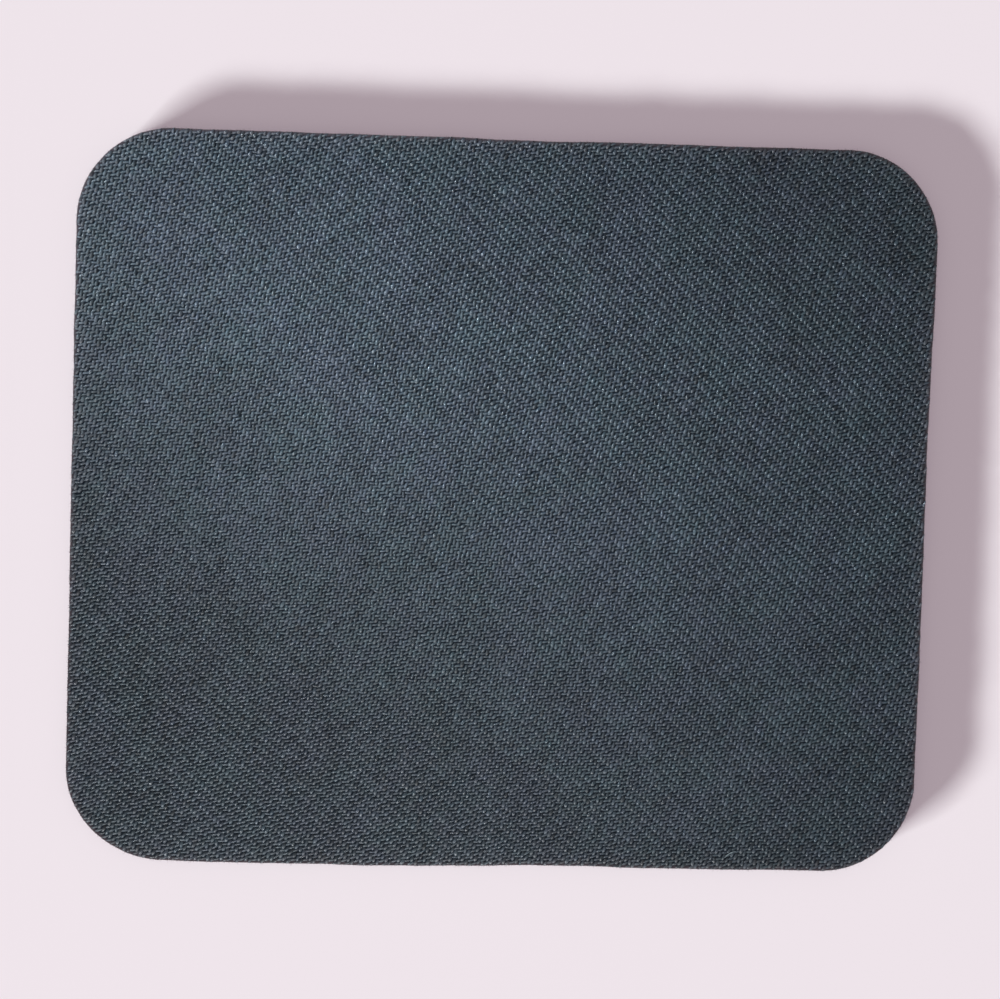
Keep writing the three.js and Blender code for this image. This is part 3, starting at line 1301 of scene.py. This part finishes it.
@dataclass(frozen=True)
class Studio:
    """Pale floor, soft light and the camera.

    Attributes:
        eye: Place of the camera.
        aim: Where it looks.
        roll: Its turn about that line, in degrees.
        lens: Focal length in millimetres.
        sensor: Width of the sensor in millimetres.
        near: Distance from which the camera sees.
        floor_colour: Colour of the floor.
        floor_half: Half the side of the floor.
        sky: Light from all round, as a share of white.
        sky_colour: Its colour.
        boxes: The soft lamps for the pad: a cool window behind it to the left, a room before it to the
            left, a weak warm desk lamp before it, and one under the clear side of the floor.
        shade: Light that the floor keeps inside the pad's shadow, as shares of white.
        shift: How far the shadow falls to the right of the pad and behind it.
        strip_away: Distance of the low strip lamp that throws the shadow.
        strip_angles: Its width and height seen from the pad, in degrees, which soften the shadow.
    """

    eye: Vector = Vector((-12.95 * MM, 15.44 * MM, 344.88 * MM))
    aim: Vector = Vector((-0.83 * MM, 1.72 * MM, 3.0 * MM))
    roll: float = 1.62
    lens: float = 50.0
    sensor: float = 36.0
    near: float = 0.01
    floor_colour: Colour = linear(239, 229, 235)
    floor_half: float = 3.0
    sky: float = 0.226
    sky_colour: Colour = (1.03, 1.0, 0.98)
    boxes: tuple[SoftBox, ...] = (
        SoftBox(
            "window", azimuth=152.6, elevation=32.8, away=0.313, aim=(-0.016, 0.04),
            sides=(0.05, 0.125), cone=40.7, share=0.87, colour=(0.87, 1.0, 1.09),
        ),
        SoftBox(
            "room", azimuth=245.0, elevation=38.0, away=0.737, aim=(-0.042, -0.036),
            sides=(0.34, 0.34), cone=55.0, share=0.74, colour=(0.97, 1.0, 1.02),
        ),
        SoftBox(
            "desk_lamp", azimuth=290.0, elevation=25.0, away=0.4, aim=(-0.036, -0.046),
            sides=(0.1, 0.1), cone=32.0, share=0.1, colour=(1.06, 1.0, 0.92),
        ),
        SoftBox(
            "below", azimuth=0.0, elevation=-90.0, away=0.5, aim=(0.0, 0.0),
            sides=(0.5, 0.5), cone=170.0, share=0.6, colour=(1.0, 1.0, 1.0),
        ),
    )
    shade: Colour = (0.471, 0.423, 0.446)
    shift: tuple[float, float] = (18.7 * MM, 14.0 * MM)
    strip_away: float = 20.0
    strip_angles: tuple[float, float] = (18.0, 2.5)

    def camera(self) -> None:
        """Sets the camera at the photograph's viewing angle."""
        data = bpy.data.cameras.new("camera")
        data.lens = self.lens
        data.sensor_width = self.sensor
        data.clip_start = self.near
        camera = bpy.data.objects.new("camera", data)
        ahead = (self.aim - self.eye).normalized()
        right = ahead.cross(Vector((0.0, 1.0, 0.0))).normalized()
        level = Matrix((right, right.cross(ahead), -ahead)).transposed().to_4x4()
        spin = Matrix.Rotation(math.radians(self.roll), 4, "Z")
        camera.matrix_world = Matrix.Translation(self.eye) @ level @ spin
        bpy.context.scene.collection.objects.link(camera)
        bpy.context.scene.camera = camera

    def floor(self) -> Piece:
        """Makes the floor: a wide pale square, clear from below so that the underside shows.

        Returns:
            The floor.
        """
        corners = np.array([[-1.0, -1.0, 0.0], [1.0, -1.0, 0.0], [1.0, 1.0, 0.0], [-1.0, 1.0, 0.0]])
        piece = make_object("floor", corners * self.floor_half, [[0, 1, 2, 3]])
        paper = Finish("floor_paper", self.floor_colour, Roughness=1.0, Specular_IOR_Level=0.0)
        paper.link("Alpha", 1.0 - paper.add("ShaderNodeNewGeometry", {}, {}, "Backfacing"))
        piece.data.materials.append(paper.material)
        piece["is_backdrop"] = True
        return piece

    def sky_light(self) -> None:
        """Makes the world: an even sky, which the camera sees in the floor's colour."""
        world = bpy.data.worlds.new("sky")
        world.use_nodes = True
        nodes, links = world.node_tree.nodes, world.node_tree.links
        lighting = nodes["Background"]
        lighting.inputs["Color"].default_value = (*self.sky_colour, 1.0)
        lighting.inputs["Strength"].default_value = self.sky
        seen = nodes.new("ShaderNodeBackground")
        seen.inputs["Color"].default_value = (*self.floor_colour, 1.0)
        mix = nodes.new("ShaderNodeMixShader")
        links.new(nodes.new("ShaderNodeLightPath").outputs["Is Camera Ray"], mix.inputs["Fac"])
        links.new(lighting.outputs["Background"], mix.inputs[1])
        links.new(seen.outputs["Background"], mix.inputs[2])
        links.new(mix.outputs["Shader"], nodes["World Output"].inputs["Surface"])
        bpy.context.scene.world = world

    def hang(self, data: bpy.types.Light, place: Vector, aim: Vector, lit: list[Piece]) -> None:
        """Hangs a lamp that lights only some pieces. Where it hangs below, only those cast its shadows.

        Args:
            data: The lamp.
            place: Where it hangs.
            aim: Where it looks.
            lit: The pieces that it lights.
        """
        lamp = bpy.data.objects.new(data.name, data)
        turn = (aim - place).to_track_quat("-Z", "Y").to_matrix().to_4x4()
        lamp.matrix_world = Matrix.Translation(place) @ turn
        bpy.context.scene.collection.objects.link(lamp)
        group = bpy.data.collections.new(f"lit_by_{data.name}")
        for piece in lit:
            group.objects.link(piece)
        lamp.light_linking.receiver_collection = group
        if place.z < 0.0:
            lamp.light_linking.blocker_collection = group

    def light(self, floor: Piece, pieces: list[Piece], height: float) -> None:
        """Lights the set: an even sky, the soft boxes for the pad, and two lamps for the floor.

        A lamp straight above keeps the floor's shadow at its shade, and a low strip far away adds the
        rest and throws the shadow. The strip's power follows as a soft box's does; a sun needs pi.

        Args:
            floor: The floor.
            pieces: The pieces of the pad.
            height: Height of the pad.
        """
        self.sky_light()
        for box in self.boxes:
            self.hang(box.data(), box.place(), Vector((*box.aim, 0.0)), pieces)

        above = bpy.data.lights.new("fill_from_above", "SUN")
        pairs = zip(self.shade, self.sky_colour, strict=True)
        above.color = [share - self.sky * tint for share, tint in pairs]
        above.energy = math.pi
        self.hang(above, Vector((0.0, 0.0, 1.0)), Vector(), [floor])

        sides = tuple(self.strip_away * math.radians(angle) for angle in self.strip_angles)
        strip = area_lamp("low_strip", sides, tuple(1.0 - share for share in self.shade))
        from_pad = Vector((-self.shift[0], -self.shift[1], height)).normalized()
        strip.energy = (math.pi * self.strip_away) ** 2 / from_pad.z
        self.hang(strip, from_pad * self.strip_away, Vector(), [floor])


def heights(node: str) -> tuple[float, float]:
    """Heights of the lowest and the highest point of a CAD solid."""
    low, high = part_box(node)
    return low[2], high[2]


def dress(piece: Piece, material: bpy.types.Material) -> Piece:
    """Gives a piece its finish and its body, and reports it.

    Args:
        piece: The piece.
        material: Its finish.

    Returns:
        The piece.
    """
    piece.data.materials.append(material)
    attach(piece, BODY)
    LOG.info("%s: %d faces", piece.name, len(piece.data.polygons))
    return piece


def main() -> None:
    """Builds the pad's pieces in order, then the set."""
    logging.basicConfig(level=logging.INFO, format="%(name)s %(message)s")
    cad_box = [list(corner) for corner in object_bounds()]
    low, high = cad_box
    plan = PadPlan(length=high[0] - low[0], width=high[1] - low[1])

    sponge = SpongeBase(plan, top=heights("rubber_base")[1])
    base = dress(sponge.build(), RubberFinish().build())
    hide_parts("rubber_base")

    film = dress(FilmLine(plan, *heights("bonding_film")).build(), FilmFinish().build())
    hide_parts("bonding_film")

    cloth = ClothFace(plan, TwillWeave(), *heights("cloth_face"))
    yarn = YarnFinish()
    ground = dress(cloth.ground(), GroundPaintedShade().build())
    warp_form = FloatForm(
        half_length=0.97 * MM, half_width=0.4 * MM, crown=0.5 * MM, turn=-32.0, shoulder=0.56, tone=0.52
    )
    weft_form = FloatForm(
        half_length=1.13 * MM, half_width=0.26 * MM, crown=0.23 * MM, turn=17.0, shoulder=0.36, tone=0.78
    )
    warp = dress(cloth.yarn_floats(Yarn.WARP, warp_form), yarn.build("warp_yarn"))
    weft = dress(cloth.yarn_floats(Yarn.WEFT, weft_form), yarn.build("weft_yarn"))
    frayed = FibreFinish(dull=linear(84, 76, 84), pale=linear(142, 130, 138))
    ends = dress(CutEnds(cloth).build(), frayed.build("frayed_ends"))
    lint = FibreFinish(dull=linear(140, 154, 160), pale=linear(188, 202, 208))
    crests = cloth.high - cloth.ground_depth + warp_form.crown
    fibre = dress(StrayFibre().build(crests), lint.build("pale_lint"))
    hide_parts("cloth_face")

    studio = Studio()
    studio.camera()
    floor = studio.floor()
    studio.light(floor, [base, film, ground, warp, weft, ends, fibre], high[2] - low[2])
    bpy.context.scene.view_settings.view_transform = "Standard"


if __name__ == "__main__":
    main()
